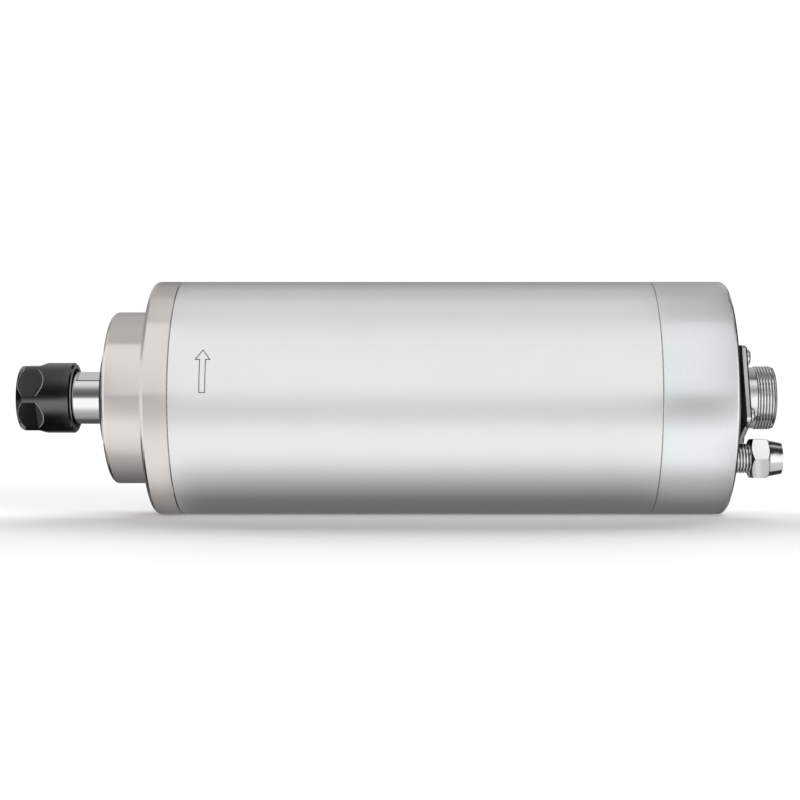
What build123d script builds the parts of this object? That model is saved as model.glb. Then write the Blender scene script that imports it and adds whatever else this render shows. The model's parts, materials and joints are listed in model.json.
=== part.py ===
from build123d import *
from math import cos, pi, radians, sin, sqrt, tan
import os

# Motor spindle: a water-cooled milling spindle with an 80 mm body and a collet chuck.
# Millimetres. The spindle turns about X: the collet points to -X and the connector to +X, and +Z is
# up. The origin is on the axis, at the middle of the 80 mm body. Half sections of turned pieces are
# drawn in the XY plane, with x along the spindle and y as the radius, and revolved about X.

# ---- clearances ----
seat_gap = 0.02  # radial play of pieces that are pressed or clamped together
run_gap = 0.05  # radial play of threads and of pieces that turn in each other
air_gap = 0.3  # between the rotor and the stator
labyrinth_gap = 0.2  # between the dust ring and the nose

# ---- proportions ----
hex_sides = 6
shoulder_share = 0.62  # bearing shoulders over the balls' centres, to the balls' radius

# ---- body ----
body_dia = 80.0  # flange, sleeve and rear cap
sleeve_length = 160.0
sleeve_wall = 3.0
flange_thickness = 9.0
nose_dia = 59.0
nose_length = 14.5
nose_lip = 5.5  # wall between the nose face and the front bearings
cap_length = 25.0
cap_end_wall = 8.0
cap_bore_dia = 36.0  # wiring space inside the rear cap
boss_dia = 38.0
boss_height = 4.5
wire_hole_dia = 16.0
seam_chamfer = 0.25  # edges on both sides of a seam
rim_chamfer = 0.6  # 45 degree edge of the nose, the flange and the cap
rim_lead = 0.55  # flatter step behind that edge, along X
rim_drop = 0.15  # and its depth

# ---- nose bolts, tapped M5 ----
nose_bolt_edge = 4.5  # bolt centres to the nose's edge
nose_bolt_count = 4
nose_bolt_start = 45.0  # degrees from +Y
nose_bolt_tap_dia = 4.2
nose_bolt_depth = 10.0

# ---- water jacket and stator ----
jacket_wall = 4.0
channel_count = 5
channel_width = 15.0
channel_depth = 2.4
crossover_width = 8.0
o_ring_section = 1.5
o_ring_inset = 2.6
winding_space = 6.0  # end turns to the bearing housings
winding_overhang = 15.0
winding_section = 9.0
slot_count = 24
slot_width = 2.6
slot_depth = 9.0
tooth_tip = 1.2
rotor_dia = 36.0
end_ring_length = 5.0
end_ring_inner_dia = 24.0

# ---- front bearings, 20 x 42 x 12 ----
front_bore = 20.0
front_od = 42.0
front_width = 12.0
front_ball_dia = 6.35
front_ball_count = 12
front_rows = 2
cage_play = 0.25  # cages to the rings' shoulders, in all bearings

# ---- rear bearing, 15 x 32 x 9 ----
rear_bore = 15.0
rear_od = 32.0
rear_width = 9.0
rear_ball_dia = 4.76
rear_ball_count = 12
rear_inset = 2.0
spring_space = 1.5
rear_wall = 3.5
rear_opening_dia = 24.0

# ---- front bearing retainer ----
retainer_nose = 6.0
retainer_plate = 3.0
retainer_edge = 2.0  # retainer to the stator's bore in the jacket
retainer_bore = 33.0
retainer_screw_count = 6

# ---- shaft and lock nuts ----
shaft_dia = 18.0
wrench_length = 14.0  # shaft between the nose and the collet nut
wrench_flats = 16.0  # across the two flats
wrench_flat_angle = 69.0  # tilt of the flats' normal from -Y towards +Z
flat_inset = 1.0  # plain shaft left at each end of the flats
collar_dia = 25.0  # shoulder in front of the front bearings
dust_ring_width = 2.0
dust_ring_inset = 0.3
front_thread_dia = 19.5
rotor_seat_dia = 19.0
front_lock_length = 6.0
front_lock_dia = 29.0
rear_lock_length = 4.5
rear_lock_dia = 20.0
shaft_tail = 1.5
lock_slot_count = 4
lock_slot_width = 4.0
lock_slot_depth = 1.6

# ---- collet chuck: collet of 17 x 27.5 with 8 degree taper, nut on M19 x 1 ----
collet_dia = 17.0
collet_length = 27.5
collet_bore = 6.0
collet_taper = 8.0  # degrees to each side
face_taper = 30.0
face_cone_length = 2.6
collet_collar = 1.6
groove_width = 2.6
groove_dia = 13.8
collet_slot_count = 6  # from each end
collet_slot_start = 15.0  # degrees from +Y
collet_slot_width = 0.5
collet_slot_stop = 6.0  # uncut length at a slot's blind end
socket_play = 0.03
draw_bore_dia = 10.6
draw_bore_depth = 36.0
nut_length = 18.5
nut_dia = 24.2
nut_flats = 22.0
nut_hex_length = 6.8
nut_hex_runout = 2.1  # length of the run-out slope to its rise
nut_hex_start = 32.5  # direction of the first flat, from +Y towards +Z
nut_face_chamfer = 1.3
nut_rear_chamfer = 0.6
nut_thread_dia = 19.0
nut_thread_length = 8.0
nut_lip_width = 1.8
nut_lip_dia = 14.4
nut_relief_dia = 20.4
nut_relief_length = 1.6
collet_recess = 0.3  # collet face below the nut's face

# ---- connector ----
connector_tilt = -22.1  # degrees about +X
plate_side = 28.5
plate_corner = 2.0
plate_thickness = 1.8
plate_chamfer = 0.6
gasket_thickness = 1.4
connector_pitch = 21.2  # between the screws of one side
screw_dia = 3.0
screw_head_dia = 5.4
screw_head_height = 1.2
screw_length = 8.0
screw_hole_dia = 3.4
screw_head_chamfer = 0.5
barrel_length = 10.0
barrel_dia = 21.8
neck_length = 3.2
neck_dia = 21.1
barrel_bore = 18.4
barrel_chamfer = 1.0
insert_length = 4.5
pin_count = 4
pin_circle = 9.0
pin_dia = 2.0
pin_chamfer = 0.35
pin_reach = 5.3  # in front of the insert
pin_tail = 5.0  # behind the connector's gasket

# ---- water fittings on M10 x 1 ----
fitting_spacing = 0.2  # boss to the fittings' stems
fitting_angles = {"inlet": -122.2, "outlet": 0.0}  # from +Y towards +Z
stem_dia = 10.0
stem_depth = 7.0
stem_reach = 11.4  # end of the stem's thread, from the cap's face
stem_bore = 4.0
hose_spigot_dia = 5.8
hose_spigot_length = 4.6
hose_dia = 8.0
water_port_dia = 5.0
fitting_nut_stand = 7.2  # cap's face to the nut
fitting_nut_length = 10.8
fitting_nut_flats = 13.0
fitting_hex_length = 6.3
fitting_end_dia = 10.5
fitting_hex_chamfer = 1.0
spigot_chamfer = 0.6
fitting_mouth_play = 0.2
ferrule_length = 3.2
ferrule_cone = 0.75
ferrule_play = 0.1
fitting_cone = 1.5  # length of the nut's inner cone

# ---- screws of the rear cap and of the retainer ----
cap_screw_edge = 6.5  # screw centres to the cap's edge
cap_screw_count = 4
cap_screw_start = 30.0
cap_screw_dia = 4.0
cap_head_dia = 7.0
cap_head_height = 4.0
cap_head_sink = 4.6
cap_screw_engage = 7.0
cap_socket_flats = 3.0
cap_socket_depth = 2.0
hole_play = 0.2
retainer_screw_dia = 3.0
retainer_head_dia = 5.5
retainer_head_height = 1.8
retainer_screw_engage = 6.0

# ---- radii and stations along X that follow from the sizes above ----
body_r = body_dia / 2
sleeve_bore_r = body_r - sleeve_wall
jacket_bore_r = sleeve_bore_r - jacket_wall
x_sleeve_front = flange_thickness - (sleeve_length + flange_thickness + cap_length) / 2
x_sleeve_rear = x_sleeve_front + sleeve_length
x_flange = x_sleeve_front - flange_thickness
x_nose = x_flange - nose_length
x_cap_rear = x_sleeve_rear + cap_length
x_boss = x_cap_rear + boss_height

x_front_bearing = x_nose + nose_lip
x_front_bearing_end = x_front_bearing + front_rows * front_width
x_spigot = x_front_bearing_end + retainer_nose
x_rear_housing = x_sleeve_rear - rear_wall - spring_space - rear_width - rear_inset
x_rear_bearing = x_rear_housing + rear_inset
x_rear_bearing_end = x_rear_bearing + rear_width
x_winding_front = x_spigot + winding_space
x_core_front = x_winding_front + winding_overhang
x_winding_rear = x_rear_housing - winding_space
x_core_rear = x_winding_rear - winding_overhang
rotor_r = rotor_dia / 2
stator_bore_r = rotor_r + air_gap
slot_outer_r = stator_bore_r + tooth_tip + slot_depth

x_collar = x_nose + dust_ring_inset + dust_ring_width
x_front_lock_end = x_front_bearing_end + front_lock_length
x_rear_lock_end = x_rear_bearing_end + rear_lock_length
x_shaft_end = x_rear_lock_end + shaft_tail
x_nut_rear = x_nose - wrench_length
x_nut_front = x_nut_rear - nut_length
x_collet_front = x_nut_front + collet_recess
x_collet_groove = x_collet_front + face_cone_length + collet_collar
x_collet_taper = x_collet_groove + groove_width
x_collet_rear = x_collet_front + collet_length
x_thread_rear = x_nut_rear - nut_relief_length
x_shaft_front = x_thread_rear - nut_thread_length - run_gap

x_gasket = x_boss + gasket_thickness
x_plate = x_gasket + plate_thickness
x_barrel_end = x_plate + barrel_length
x_insert_end = x_gasket + insert_length


def half_section(*points):
    """Closed half section of a turned piece, through points given as (x, radius)."""
    Polygon(*points, align=None)


def ring_section(x_start, x_end, inner_r, outer_r):
    """Rectangular half section of a ring."""
    half_section((x_start, inner_r), (x_end, inner_r), (x_end, outer_r), (x_start, outer_r))


def broken_rim(x_face, outer_r, inward):
    """Points of an outer rim broken in two steps; inward is the way from the face into the piece."""
    return [
        (x_face, outer_r - rim_drop - rim_chamfer),
        (x_face + inward * rim_chamfer, outer_r - rim_drop),
        (x_face + inward * (rim_chamfer + rim_lead), outer_r),
    ]


def turned_planes(count, start=0.0, x=0.0):
    """Planes across X with their x_dir pointing outwards, spaced evenly around the spindle."""
    angles = [radians(start + 360 / count * i) for i in range(count)]
    return [Plane(origin=(x, 0, 0), x_dir=(0, cos(a), sin(a)), z_dir=(1, 0, 0)) for a in angles]


def axial_planes(count, start=0.0):
    """Planes that hold the X axis, with their y_dir pointing outwards, spaced evenly around it."""
    return [Plane.XY.rotated((start + 360 / count * i, 0, 0)) for i in range(count)]


def connector_plane(x):
    """Plane across X at x, turned with the connector."""
    return Plane(origin=(x, 0, 0), x_dir=(0, cos(radians(connector_tilt)), sin(radians(connector_tilt))),
                 z_dir=(1, 0, 0))


def export(piece, name):
    piece.part.label = name
    export_step(piece.part, f"parts/{name}.step")


os.makedirs("parts", exist_ok=True)

# ======================================================================================
# Housing
# ======================================================================================

# Flange, nose and spigot in one piece; the front bearings sit in the nose.
nose_r = nose_dia / 2
front_seat_r = front_od / 2 + seat_gap
nose_opening_r = collar_dia / 2 + labyrinth_gap
spigot_r = sleeve_bore_r - seat_gap
retainer_r = jacket_bore_r - retainer_edge
retainer_screw_r = (front_seat_r + retainer_r) / 2
with BuildPart() as front_housing:
    with BuildSketch(Plane.XY):
        half_section(
            (x_nose, nose_opening_r),
            *broken_rim(x_nose, nose_r, 1),
            (x_flange, nose_r),
            *broken_rim(x_flange, body_r, 1),
            (x_sleeve_front - seam_chamfer, body_r),
            (x_sleeve_front, body_r - seam_chamfer),
            (x_sleeve_front, spigot_r),
            (x_spigot, spigot_r),
            (x_spigot, front_seat_r),
            (x_front_bearing, front_seat_r),
            (x_front_bearing, nose_opening_r),
        )
    revolve(axis=Axis.X)
    with BuildSketch(*turned_planes(nose_bolt_count, start=nose_bolt_start, x=x_nose)):
        with Locations((nose_r - nose_bolt_edge, 0)):
            Circle(nose_bolt_tap_dia / 2)
    extrude(amount=nose_bolt_depth, mode=Mode.SUBTRACT)
    with BuildSketch(*turned_planes(retainer_screw_count, x=x_spigot)):
        with Locations((retainer_screw_r, 0)):
            Circle(retainer_screw_dia / 2 + seat_gap)
    extrude(amount=-retainer_screw_engage - hole_play, mode=Mode.SUBTRACT)
export(front_housing, "front_housing")

# Polished tube between the flange and the rear cap.
with BuildPart() as outer_sleeve:
    with BuildSketch(Plane.XY):
        half_section(
            (x_sleeve_front, sleeve_bore_r),
            (x_sleeve_front, body_r - seam_chamfer),
            (x_sleeve_front + seam_chamfer, body_r),
            (x_sleeve_rear - seam_chamfer, body_r),
            (x_sleeve_rear, body_r - seam_chamfer),
            (x_sleeve_rear, sleeve_bore_r),
        )
    revolve(axis=Axis.X)
export(outer_sleeve, "outer_sleeve")

# Coolant runs round the jacket in ring channels, joined by crossovers on alternate sides.
jacket_r = sleeve_bore_r - seat_gap
channel_pitch = (x_rear_housing - x_spigot - 4 * o_ring_inset) / channel_count
channel_floor_r = jacket_r - channel_depth
groove_floor_r = jacket_r - o_ring_section
o_ring_places = (x_spigot + o_ring_inset, x_rear_housing - o_ring_inset)
channel_places = [x_spigot + 2 * o_ring_inset + channel_pitch * (i + 0.5) for i in range(channel_count)]
with BuildPart() as water_jacket:
    with BuildSketch(Plane.XY):
        ring_section(x_spigot, x_rear_housing, jacket_bore_r + seat_gap, jacket_r)
    revolve(axis=Axis.X)
    with BuildSketch(Plane.XY):
        for x in channel_places:
            ring_section(x - channel_width / 2, x + channel_width / 2, channel_floor_r, body_r)
        for x in o_ring_places:
            ring_section(x - o_ring_section / 2, x + o_ring_section / 2, groove_floor_r, body_r)
    revolve(axis=Axis.X, mode=Mode.SUBTRACT)
    for i, x in enumerate(channel_places[:-1]):
        side = 1 if i % 2 else -1
        with BuildSketch(Plane.XZ.offset(-side * channel_floor_r)):
            with Locations((x + channel_pitch / 2, 0)):
                Rectangle(channel_pitch, crossover_width)
        extrude(amount=-side * sleeve_wall * 2, mode=Mode.SUBTRACT)
export(water_jacket, "water_jacket")

# Seals at both ends of the jacket.
with BuildPart() as jacket_o_rings:
    with BuildSketch(Plane.XY):
        with Locations(*[(x, groove_floor_r + o_ring_section / 2) for x in o_ring_places]):
            RegularPolygon(o_ring_section / 2 - seat_gap, 6)
    revolve(axis=Axis.X)
export(jacket_o_rings, "jacket_o_rings")

# Laminated stack with open slots around the bore.
with BuildPart() as stator_core:
    with BuildSketch(Plane.XY):
        ring_section(x_core_front, x_core_rear, stator_bore_r, jacket_bore_r)
    revolve(axis=Axis.X)
    with BuildSketch(*turned_planes(slot_count, x=x_core_front)):
        with Locations((slot_outer_r - slot_depth / 2, 0)):
            Rectangle(slot_depth, slot_width)
        with Locations((stator_bore_r + tooth_tip / 2, 0)):
            Rectangle(tooth_tip * 2, slot_width / 3)
    extrude(amount=x_core_rear - x_core_front, mode=Mode.SUBTRACT)
export(stator_core, "stator_core")

# Copper in the slots, and the end turns that join it at both ends of the stack.
winding_r = (stator_bore_r + tooth_tip + slot_outer_r) / 2
end_turn_chamfer = winding_section / 5
with BuildPart() as stator_windings:
    with BuildSketch(Plane.XY):
        for x_start, x_end in ((x_winding_front, x_core_front), (x_core_rear, x_winding_rear)):
            with Locations(((x_start + x_end) / 2, winding_r)):
                Rectangle(x_end - x_start, winding_section)
        chamfer(vertices(), end_turn_chamfer)
    revolve(axis=Axis.X)
    with BuildSketch(*turned_planes(slot_count, x=x_core_front - end_turn_chamfer)):
        with Locations((winding_r, 0)):
            Rectangle(slot_depth - 2 * run_gap, slot_width - 2 * run_gap)
    extrude(amount=x_core_rear - x_core_front + 2 * end_turn_chamfer)
export(stator_windings, "stator_windings")


def race_section(x_start, width, plain_r, shoulder_r, groove_r, ball_r):
    """Half section of a bearing ring: plain on one side and with a ball track on the other."""
    x_end = x_start + width - seat_gap
    middle = x_start + width / 2
    half_section(
        (x_start, plain_r),
        (x_end, plain_r),
        (x_end, shoulder_r),
        (middle + ball_r, shoulder_r),
        (middle + ball_r / 2, groove_r),
        (middle - ball_r / 2, groove_r),
        (middle - ball_r, shoulder_r),
        (x_start, shoulder_r),
    )


# Front bearings: a pair of angular contact bearings, side by side.
front_starts = [x_front_bearing + front_width * i for i in range(front_rows)]
front_pitch_r = (front_bore + front_od) / 4
front_ball_r = front_ball_dia / 2
front_track = front_ball_r + run_gap
front_shoulder = front_ball_r * shoulder_share
with BuildPart() as front_bearing_outer_rings:
    with BuildSketch(Plane.XY):
        for x in front_starts:
            race_section(x, front_width, front_od / 2, front_pitch_r + front_shoulder,
                         front_pitch_r + front_track, front_ball_r)
    revolve(axis=Axis.X)
export(front_bearing_outer_rings, "front_bearing_outer_rings")

# Ring behind the front bearings; its nose presses on the outer rings.
x_retainer_face = x_spigot + retainer_plate
with BuildPart() as front_bearing_retainer:
    with BuildSketch(Plane.XY):
        half_section(
            (x_front_bearing_end, retainer_bore / 2),
            (x_retainer_face, retainer_bore / 2),
            (x_retainer_face, retainer_r),
            (x_spigot, retainer_r),
            (x_spigot, front_od / 2 - seat_gap),
            (x_front_bearing_end, front_od / 2 - seat_gap),
        )
    revolve(axis=Axis.X)
    with BuildSketch(*turned_planes(retainer_screw_count, x=x_spigot)):
        with Locations((retainer_screw_r, 0)):
            Circle(retainer_screw_dia / 2 + hole_play)
    extrude(amount=retainer_plate, mode=Mode.SUBTRACT)
export(front_bearing_retainer, "front_bearing_retainer")

with BuildPart() as retainer_screws:
    with BuildSketch(*turned_planes(retainer_screw_count, x=x_retainer_face)):
        with Locations((retainer_screw_r, 0)):
            Circle(retainer_head_dia / 2)
    extrude(amount=retainer_head_height)
    with BuildSketch(*turned_planes(retainer_screw_count, x=x_retainer_face)):
        with Locations((retainer_screw_r, 0)):
            Circle(retainer_screw_dia / 2)
    extrude(amount=-retainer_plate - retainer_screw_engage)
export(retainer_screws, "retainer_screws")

# Rear end shield: carries the rear bearing and passes the coolant from the cap to the jacket.
rear_seat_r = rear_od / 2 + seat_gap
x_rear_seat_end = x_rear_bearing_end + spring_space
fitting_r = boss_dia / 2 + stem_dia / 2 + fitting_spacing
cap_screw_r = body_r - cap_screw_edge
with BuildPart() as rear_bearing_housing:
    with BuildSketch(Plane.XY):
        half_section(
            (x_rear_housing, rear_seat_r),
            (x_rear_seat_end, rear_seat_r),
            (x_rear_seat_end, rear_opening_dia / 2),
            (x_sleeve_rear, rear_opening_dia / 2),
            (x_sleeve_rear, spigot_r),
            (x_rear_housing, spigot_r),
        )
    revolve(axis=Axis.X)
    for angle in fitting_angles.values():
        with BuildSketch(*turned_planes(1, start=angle, x=x_sleeve_rear)):
            with Locations((fitting_r, 0)):
                Circle(water_port_dia / 2)
        extrude(amount=x_rear_bearing - x_sleeve_rear, mode=Mode.SUBTRACT)
        with BuildSketch(*turned_planes(1, start=angle, x=x_rear_housing)):
            with Locations(((fitting_r + spigot_r) / 2, 0)):
                Rectangle(spigot_r - fitting_r, water_port_dia)
        extrude(amount=rear_width, mode=Mode.SUBTRACT)
    with BuildSketch(*turned_planes(cap_screw_count, start=cap_screw_start, x=x_sleeve_rear)):
        with Locations((cap_screw_r, 0)):
            Circle(cap_screw_dia / 2 + seat_gap)
    extrude(amount=-cap_screw_engage - hole_play, mode=Mode.SUBTRACT)
export(rear_bearing_housing, "rear_bearing_housing")

rear_pitch_r = (rear_bore + rear_od) / 4
rear_ball_r = rear_ball_dia / 2
rear_track = rear_ball_r + run_gap
rear_shoulder = rear_ball_r * shoulder_share
with BuildPart() as rear_bearing_outer_ring:
    with BuildSketch(Plane.XY):
        race_section(x_rear_bearing, rear_width, rear_od / 2, rear_pitch_r + rear_shoulder,
                     rear_pitch_r + rear_track, rear_ball_r)
    revolve(axis=Axis.X)
export(rear_bearing_outer_ring, "rear_bearing_outer_ring")

# Preload spring between the rear outer ring and the end shield.
with BuildPart() as preload_spring:
    with BuildSketch(Plane.XY):
        ring_section(x_rear_bearing_end, x_rear_seat_end, rear_pitch_r + rear_shoulder, rear_od / 2 - seat_gap)
    revolve(axis=Axis.X)
export(preload_spring, "preload_spring")

# Rear cap with the connector's boss, the tapped water ports and the sunk screws.
x_cap_floor = x_cap_rear - cap_end_wall
boss_r = boss_dia / 2
with BuildPart() as rear_cap:
    with BuildSketch(Plane.XY):
        half_section(
            (x_sleeve_rear, cap_bore_dia / 2),
            (x_sleeve_rear, body_r - seam_chamfer),
            (x_sleeve_rear + seam_chamfer, body_r),
            *reversed(broken_rim(x_cap_rear, body_r, -1)),
            (x_cap_rear, boss_r),
            (x_boss - seam_chamfer, boss_r),
            (x_boss, boss_r - seam_chamfer),
            (x_boss, wire_hole_dia / 2),
            (x_cap_floor, wire_hole_dia / 2),
            (x_cap_floor, cap_bore_dia / 2),
        )
    revolve(axis=Axis.X)
    for angle in fitting_angles.values():
        with BuildSketch(*turned_planes(1, start=angle, x=x_cap_rear)):
            with Locations((fitting_r, 0)):
                Circle(stem_dia / 2 + seat_gap)
        extrude(amount=-stem_depth - hole_play, mode=Mode.SUBTRACT)
        with BuildSketch(*turned_planes(1, start=angle, x=x_cap_rear)):
            with Locations((fitting_r, 0)):
                Circle(water_port_dia / 2)
        extrude(amount=-cap_length, mode=Mode.SUBTRACT)
    cap_screw_planes = turned_planes(cap_screw_count, start=cap_screw_start, x=x_cap_rear)
    with BuildSketch(*cap_screw_planes):
        with Locations((cap_screw_r, 0)):
            Circle(cap_screw_dia / 2 + hole_play)
    extrude(amount=-cap_length, mode=Mode.SUBTRACT)
    with BuildSketch(*cap_screw_planes):
        with Locations((cap_screw_r, 0)):
            Circle(cap_head_dia / 2 + hole_play)
    extrude(amount=-cap_head_sink, mode=Mode.SUBTRACT)
    with BuildSketch(connector_plane(x_boss)):
        with GridLocations(connector_pitch, connector_pitch, 2, 2):
            Circle(screw_dia / 2 + seat_gap)
    extrude(amount=-screw_length, mode=Mode.SUBTRACT)
export(rear_cap, "rear_cap")

# Socket head screws that draw the cap and the end shield together.
x_cap_head = x_cap_rear - cap_head_sink
with BuildPart() as rear_cap_screws:
    with BuildSketch(*turned_planes(cap_screw_count, start=cap_screw_start, x=x_cap_head)):
        with Locations((cap_screw_r, 0)):
            Circle(cap_head_dia / 2)
    extrude(amount=cap_head_height)
    with BuildSketch(*turned_planes(cap_screw_count, start=cap_screw_start, x=x_cap_head)):
        with Locations((cap_screw_r, 0)):
            Circle(cap_screw_dia / 2)
    extrude(amount=x_sleeve_rear - cap_screw_engage - x_cap_head)
    with BuildSketch(*turned_planes(cap_screw_count, start=cap_screw_start, x=x_cap_head + cap_head_height)):
        with Locations((cap_screw_r, 0)):
            RegularPolygon(cap_socket_flats / 2, hex_sides, major_radius=False)
    extrude(amount=-cap_socket_depth, mode=Mode.SUBTRACT)
export(rear_cap_screws, "rear_cap_screws")

# ======================================================================================
# Connector on the boss
# ======================================================================================


with BuildPart() as connector_gasket:
    with BuildSketch(connector_plane(x_boss)):
        RectangleRounded(plate_side, plate_side, plate_corner)
        Circle(wire_hole_dia / 2, mode=Mode.SUBTRACT)
        with GridLocations(connector_pitch, connector_pitch, 2, 2):
            Circle(screw_hole_dia / 2, mode=Mode.SUBTRACT)
    extrude(amount=gasket_thickness)
export(connector_gasket, "connector_gasket")

with BuildPart() as connector_shell:
    with BuildSketch(connector_plane(x_gasket)):
        RectangleRounded(plate_side, plate_side, plate_corner)
        with GridLocations(connector_pitch, connector_pitch, 2, 2):
            Circle(screw_hole_dia / 2, mode=Mode.SUBTRACT)
    extrude(amount=plate_thickness)
    chamfer(faces().filter_by(Plane.YZ).group_by(Axis.X)[-1].face().outer_wire().edges(), plate_chamfer)
    with BuildSketch(Plane.XY):
        half_section(
            (x_gasket, 0),
            (x_gasket, neck_dia / 2),
            (x_plate + neck_length, neck_dia / 2),
            (x_plate + neck_length, barrel_dia / 2),
            (x_barrel_end - barrel_chamfer, barrel_dia / 2),
            (x_barrel_end, barrel_dia / 2 - barrel_chamfer),
            (x_barrel_end, 0),
        )
    revolve(axis=Axis.X)
    with BuildSketch(connector_plane(x_gasket)):
        Circle(barrel_bore / 2)
    extrude(amount=plate_thickness + barrel_length, mode=Mode.SUBTRACT)
export(connector_shell, "connector_shell")

# Moulded disc that holds the contacts.
pin_planes = turned_planes(pin_count, start=connector_tilt, x=x_insert_end)
with BuildPart() as connector_insert:
    with BuildSketch(connector_plane(x_gasket)):
        Circle(barrel_bore / 2 - seat_gap)
    extrude(amount=insert_length)
    with BuildSketch(*pin_planes):
        with Locations((pin_circle / 2, 0)):
            Circle(pin_dia / 2 + seat_gap)
    extrude(amount=-insert_length, mode=Mode.SUBTRACT)
export(connector_insert, "connector_insert")

with BuildPart() as connector_pins:
    with BuildSketch(*turned_planes(pin_count, start=connector_tilt, x=x_boss - pin_tail)):
        with Locations((pin_circle / 2, 0)):
            Circle(pin_dia / 2)
    extrude(amount=x_insert_end + pin_reach - x_boss + pin_tail)
    chamfer(faces().filter_by(Plane.YZ).group_by(Axis.X)[-1].edges(), pin_chamfer)
export(connector_pins, "connector_pins")

with BuildPart() as connector_screws:
    with BuildSketch(connector_plane(x_plate)):
        with GridLocations(connector_pitch, connector_pitch, 2, 2):
            Circle(screw_head_dia / 2)
    extrude(amount=screw_head_height)
    chamfer(faces().filter_by(Plane.YZ).group_by(Axis.X)[-1].edges(), screw_head_chamfer)
    with BuildSketch(connector_plane(x_plate)):
        with GridLocations(connector_pitch, connector_pitch, 2, 2):
            Circle(screw_dia / 2)
    extrude(amount=-(x_plate - x_boss) - screw_length + hole_play)
export(connector_screws, "connector_screws")

# ======================================================================================
# Water fittings: stem, ferrule and nut
# ======================================================================================

stem_r = stem_dia / 2
x_fitting_nut = x_cap_rear + fitting_nut_stand
x_fitting_hex_end = x_fitting_nut + fitting_hex_length
x_fitting_end = x_fitting_nut + fitting_nut_length
x_stem_end = x_cap_rear + stem_reach
x_ferrule = x_stem_end + ferrule_play
x_ferrule_end = x_ferrule + ferrule_length
fitting_mouth_r = hose_dia / 2 + fitting_mouth_play
fitting_thread_r = stem_r + run_gap
fitting_hex_r = fitting_nut_flats / sqrt(3)
fitting_shoulder_r = fitting_nut_flats / 2 - fitting_hex_chamfer / 3
ferrule_r = fitting_thread_r - ferrule_play
hex_flat_angles = [360 / hex_sides * (i + 1 / 2) for i in range(hex_sides)]  # a corner points along Y
x_fitting_cone = x_ferrule_end - ferrule_cone + 2 * ferrule_play
ferrule_end_r = ferrule_r - (fitting_thread_r - fitting_mouth_r) * ferrule_cone / fitting_cone

for port, angle in fitting_angles.items():
    centre = Vector(0, fitting_r * cos(radians(angle)), fitting_r * sin(radians(angle)))
    port_plane = Plane(origin=centre, x_dir=(1, 0, 0), z_dir=(0, 0, 1))
    port_axis = Axis(centre, (1, 0, 0))

    # Threaded stem with the spigot that the hose is pushed on.
    with BuildPart() as stem:
        with BuildSketch(port_plane):
            half_section(
                (x_cap_rear - stem_depth, stem_bore / 2),
                (x_cap_rear - stem_depth, stem_r),
                (x_stem_end, stem_r),
                (x_stem_end, hose_spigot_dia / 2),
                (x_stem_end + hose_spigot_length - spigot_chamfer, hose_spigot_dia / 2),
                (x_stem_end + hose_spigot_length, hose_spigot_dia / 2 - spigot_chamfer / 2),
                (x_stem_end + hose_spigot_length, stem_bore / 2),
            )
        revolve(axis=port_axis)
    export(stem, f"{port}_fitting")

    # Cone ring that the nut presses on the hose.
    with BuildPart() as ferrule:
        with BuildSketch(port_plane):
            half_section(
                (x_ferrule, fitting_mouth_r),
                (x_ferrule, ferrule_r),
                (x_ferrule_end - ferrule_cone, ferrule_r),
                (x_ferrule_end, ferrule_end_r),
                (x_ferrule_end, fitting_mouth_r),
            )
        revolve(axis=port_axis)
    export(ferrule, f"{port}_ferrule")

    # Hexagon nut that runs out in a cone round the hose.
    with BuildPart() as nut:
        with BuildSketch(port_plane):
            half_section(
                (x_fitting_nut, fitting_thread_r),
                (x_fitting_nut, fitting_shoulder_r),
                (x_fitting_nut + fitting_hex_chamfer, fitting_hex_r),
                (x_fitting_hex_end - fitting_hex_chamfer, fitting_hex_r),
                (x_fitting_hex_end, fitting_shoulder_r),
                (x_fitting_end, fitting_end_dia / 2),
                (x_fitting_end, fitting_mouth_r),
                (x_fitting_cone + fitting_cone, fitting_mouth_r),
                (x_fitting_cone, fitting_thread_r),
            )
        revolve(axis=port_axis)
        with BuildSketch(*[port_plane.rotated((flat_angle, 0, 0)) for flat_angle in hex_flat_angles]):
            with Locations((x_fitting_nut + fitting_hex_length / 2, fitting_nut_flats)):
                Rectangle(fitting_hex_length, fitting_nut_flats)
        extrude(amount=fitting_nut_flats, both=True, mode=Mode.SUBTRACT)
    export(nut, f"{port}_nut")

# ======================================================================================
# Rotor
# ======================================================================================

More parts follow.
